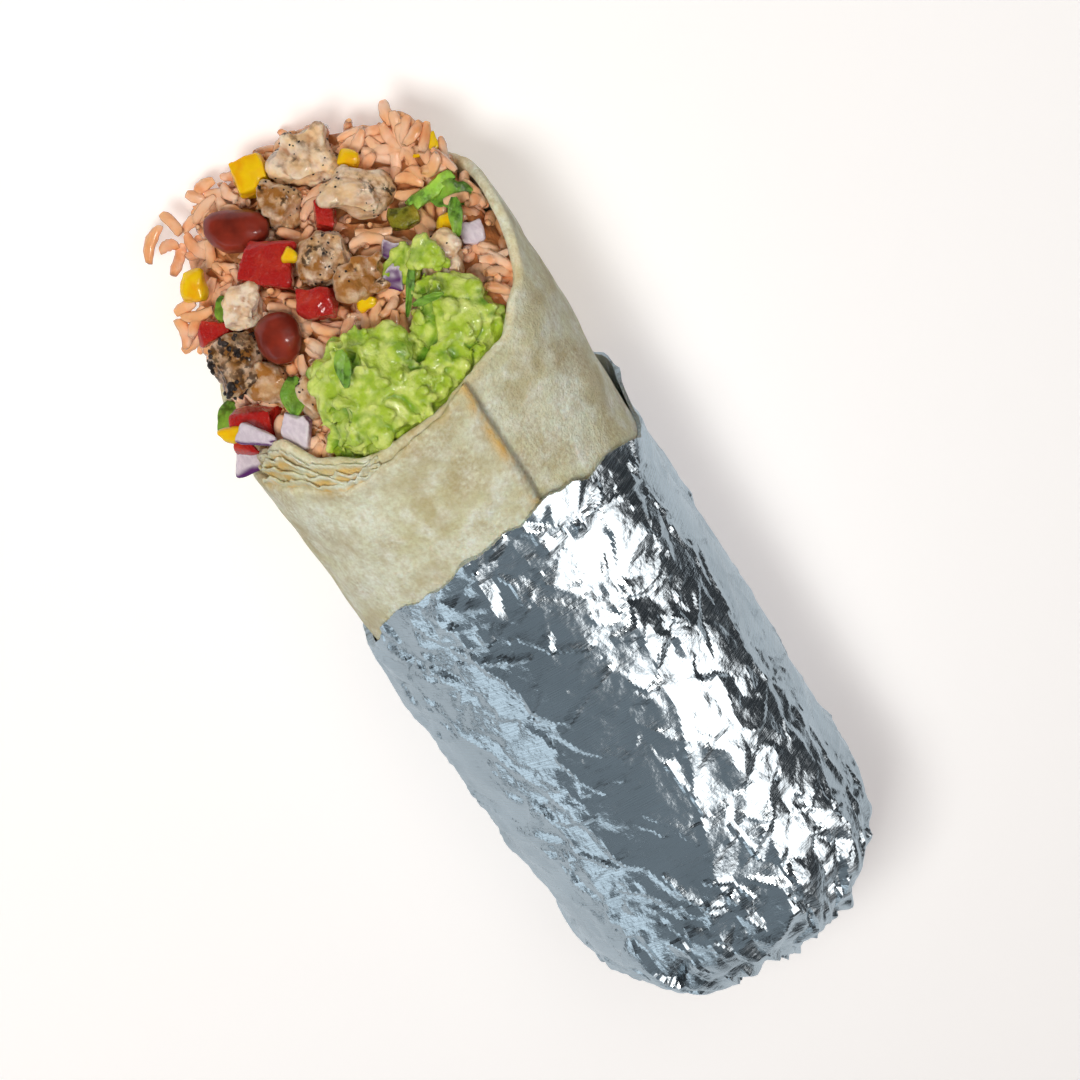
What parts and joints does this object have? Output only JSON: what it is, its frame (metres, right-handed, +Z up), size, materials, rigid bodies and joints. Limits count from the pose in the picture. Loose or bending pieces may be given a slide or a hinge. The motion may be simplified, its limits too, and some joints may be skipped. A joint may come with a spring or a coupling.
{
  "type": "burrito",
  "caption": "Rolled flour tortilla burrito, half wrapped in aluminium foil, its open mouth heaped with rice, chicken, beans, salsa and guacamole.",
  "frame": {"origin": "middle of the underside of the whole burrito's box, on the surface it lies on", "axes": "+X along the roll towards the foil's closed end, so the open mouth faces -X; +Z up"},
  "size_m": [0.2219, 0.0806, 0.0712],
  "materials": {
    "foil": "thin rolled household foil, crumpled",
    "tortilla": "soft wheat flour tortilla with toasted freckles",
    "rice": "moist tomato rice",
    "guacamole": "coarse, moist mashed avocado",
    "bean": "cooked kidney bean, glossy skin",
    "chicken": "grilled diced chicken with char",
    "tomato": "fresh cut tomato, wet",
    "corn": "cooked sweet corn, glossy",
    "onion": "fresh cut red onion",
    "pepper": "cooked green pepper"
  },
  "bodies": {
    "root": {"foil_wrap": "foil", "tortilla": "tortilla", "rice_filling": "rice", "rice_string": "rice", "rice_clump": "rice", "rice_stalk": "rice", "guacamole": "guacamole", "bean_front": "bean", "bean_left": "bean", "chicken_top": "chicken", "chicken_right": "chicken", "chicken_small": "chicken", "chicken_middle": "chicken", "chicken_brown": "chicken", "chicken_green": "chicken", "chicken_wedge": "chicken", "chicken_charred": "chicken", "chicken_low": "chicken", "chicken_skin": "chicken", "dice_yellow": "corn", "corn_left": "corn", "corn_top": "corn", "corn_inner": "corn", "tomato_bright": "tomato", "tomato_middle": "tomato", "tomato_low": "tomato", "tomato_pale": "tomato", "tomato_sliver": "tomato", "onion_low": "onion", "onion_middle": "onion", "onion_inner": "onion", "pepper_strip": "pepper", "pepper_olive": "pepper"}
  },
  "joints": []
}
